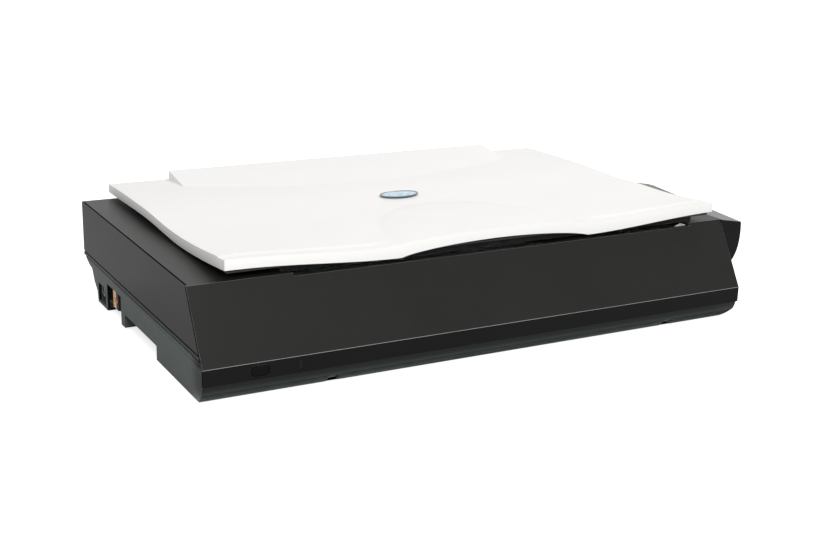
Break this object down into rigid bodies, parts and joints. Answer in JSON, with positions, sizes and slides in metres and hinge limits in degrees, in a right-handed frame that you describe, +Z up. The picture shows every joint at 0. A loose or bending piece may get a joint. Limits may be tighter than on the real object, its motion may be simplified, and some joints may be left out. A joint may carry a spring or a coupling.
{
  "type": "flatbed scanner",
  "caption": "Large-format flatbed scanner with a glass bed to its front edge, sloping charcoal front, curved right end, waved white lid on lifting hinges and a belt-driven carriage.",
  "frame": {"origin": "bottom centre of the bounding box, on the table", "axes": "+X to the user's right along the longest side, +Y to the back, +Z up; the sloping front faces -Y"},
  "size_m": [0.601, 0.3784, 0.1173],
  "materials": {
    "case_black_abs": "fine spark-eroded texture, charcoal",
    "lower_case_abs": "fine texture, dark grey green",
    "bed_glass": "clear float glass",
    "tape_black": "thin black film",
    "white_mark": "matt white film",
    "steel_rod": "ground and polished",
    "zinc_plate": "zinc plated sheet",
    "rail_plastic": "black moulded",
    "screw_steel": "black zinc",
    "belt_rubber": "moulded",
    "foot_rubber": "moulded",
    "circuit_board": "solder mask",
    "chip_black": "moulded epoxy",
    "nylon_white": "natural nylon",
    "amber_nylon": "amber moulded nylon",
    "button_black": "moulded, fine texture",
    "light_pipe": "translucent smoke",
    "bronze": "sintered",
    "lamp_glass": "frosted tube and coated lenses",
    "bright_mirror": "silvered",
    "lid_white": "satin moulded white",
    "liner_grey": "moulded black",
    "pad_foam": "open-cell foam with a white sheet",
    "badge_rim": "moulded dark rim",
    "badge_blue": "domed blue"
  },
  "bodies": {
    "case": {"accessory_port": "amber_nylon", "board_chips": "chip_black", "board_standoffs": "nylon_white", "button_board": "circuit_board", "button_ribbon": "tape_black", "button_switch": "rail_plastic", "calibration_strip": "white_mark", "carriage_flex": "tape_black", "case_screws": "screw_steel", "drive_belt": "belt_rubber", "drive_motor": "zinc_plate", "front_glide_rail": "rail_plastic", "front_panel": "case_black_abs", "gear_axle": "steel_rod", "glass_tape": "tape_black", "guide_rod": "steel_rod", "idler_axle": "steel_rod", "idler_bracket": "zinc_plate", "light_diode": "light_pipe", "lower_case": "lower_case_abs", "main_board": "circuit_board", "motor_bracket": "zinc_plate", "motor_screws": "screw_steel", "origin_mark": "white_mark", "power_jack": "rail_plastic", "rear_glide_rail": "rail_plastic", "right_end_cap": "case_black_abs", "rod_brackets": "zinc_plate", "rubber_feet": "foot_rubber", "scan_glass": "bed_glass", "status_light": "light_pipe", "upper_case": "case_black_abs", "usb_socket": "zinc_plate"},
    "hinge_posts": {"hinge_posts": "button_black", "hinge_pins": "steel_rod"},
    "lid": {"lid_shell": "lid_white", "lid_liner": "liner_grey", "document_pad": "pad_foam", "badge_rim": "badge_rim", "badge_face": "badge_blue", "lid_screws": "screw_steel", "hinge_bracket_left": "zinc_plate", "hinge_bracket_right": "zinc_plate"},
    "carriage": {"carriage_housing": "rail_plastic", "carriage_cover": "rail_plastic", "rod_bushes": "bronze", "belt_clamp": "rail_plastic", "glide_pads": "nylon_white", "lamp_tube": "lamp_glass", "lamp_reflector": "bright_mirror", "mirrors": "bright_mirror", "lens_barrel": "rail_plastic", "lens_glass": "lamp_glass", "sensor_board": "circuit_board"},
    "drive_wheel": {"drive_gear": "nylon_white"},
    "motor_rotor": {"motor_shaft": "steel_rod", "motor_pinion": "nylon_white"},
    "idler": {"idler_pulley": "nylon_white"},
    "button": {"power_button": "button_black"},
    "lock_knob": {"transport_lock": "button_black"}
  },
  "joints": [
    {"name": "hinge_lift", "type": "slide", "parent": "case", "child": "hinge_posts", "axis": [0, 0, 1], "range_m": [0, 0.018]},
    {"name": "lid_hinge", "type": "hinge", "parent": "hinge_posts", "child": "lid", "pos_m": [-0.0047, 0.18155, 0.102], "axis": [-1, 0, 0], "range_deg": [0, 85]},
    {"name": "carriage_travel", "type": "slide", "parent": "case", "child": "carriage", "axis": [1, 0, 0], "range_m": [0, 0.436], "deforming": ["carriage_flex"]},
    {"name": "drive_gear_spin", "type": "hinge", "parent": "case", "child": "drive_wheel", "pos_m": [-0.2605, 0.03055, 0.04], "axis": [0, 0, 1], "range_deg": [-10, 3500]},
    {"name": "motor_spin", "type": "hinge", "parent": "case", "child": "motor_rotor", "pos_m": [-0.2605, 0.00445, 0.03], "axis": [0, 0, 1], "range_deg": [-11700, 10]},
    {"name": "idler_spin", "type": "hinge", "parent": "case", "child": "idler", "pos_m": [0.2555, 0.03055, 0.046], "axis": [0, 0, 1], "range_deg": [-10, 3500]},
    {"name": "power_button_press", "type": "slide", "parent": "case", "child": "button", "axis": [0, 1, 0], "range_m": [0, 0.0014], "stiffness_N_per_m": 1000, "springref_m": -0.0008},
    {"name": "transport_lock_turn", "type": "hinge", "parent": "case", "child": "lock_knob", "pos_m": [-0.2055, -0.03745, 0.015], "axis": [0, 0, 1], "range_deg": [0, 90]}
  ],
  "couplings": [
    {"joint": "drive_gear_spin", "follows": "carriage_travel", "rad_per_m": 138.89},
    {"joint": "idler_spin", "follows": "carriage_travel", "rad_per_m": 138.89},
    {"joint": "motor_spin", "follows": "carriage_travel", "rad_per_m": -462.96}
  ]
}
